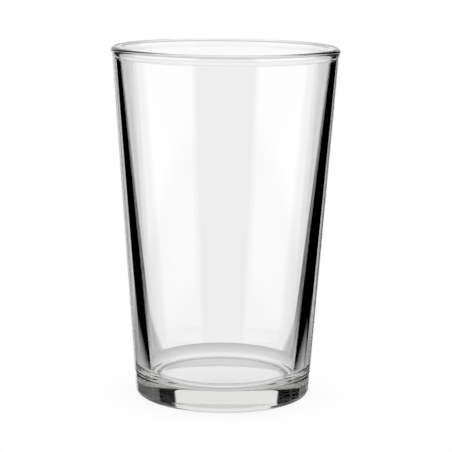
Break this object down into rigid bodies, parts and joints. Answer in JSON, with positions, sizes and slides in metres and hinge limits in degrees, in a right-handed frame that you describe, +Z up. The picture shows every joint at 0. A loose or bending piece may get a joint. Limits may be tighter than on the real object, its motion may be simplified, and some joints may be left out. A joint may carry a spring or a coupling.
{
  "type": "beer glass",
  "caption": "Plain conical beer tumbler of clear pressed glass, open at the top, with a rounded rim, a wall that thickens downwards, a heavy solid foot and a flat ring to stand on.",
  "frame": {"origin": "centre of the standing ring under the foot, on the surface that the glass stands on", "axes": "+Z up along the axis of the glass, towards the open mouth; X and Y are equal because the glass is round"},
  "size_m": [0.0726, 0.0726, 0.112],
  "materials": {
    "clear_glass": "clear colourless pressed soda-lime glass, glossy, with a fire-polished rim"
  },
  "bodies": {
    "root": {"tumbler": "clear_glass"}
  },
  "joints": []
}
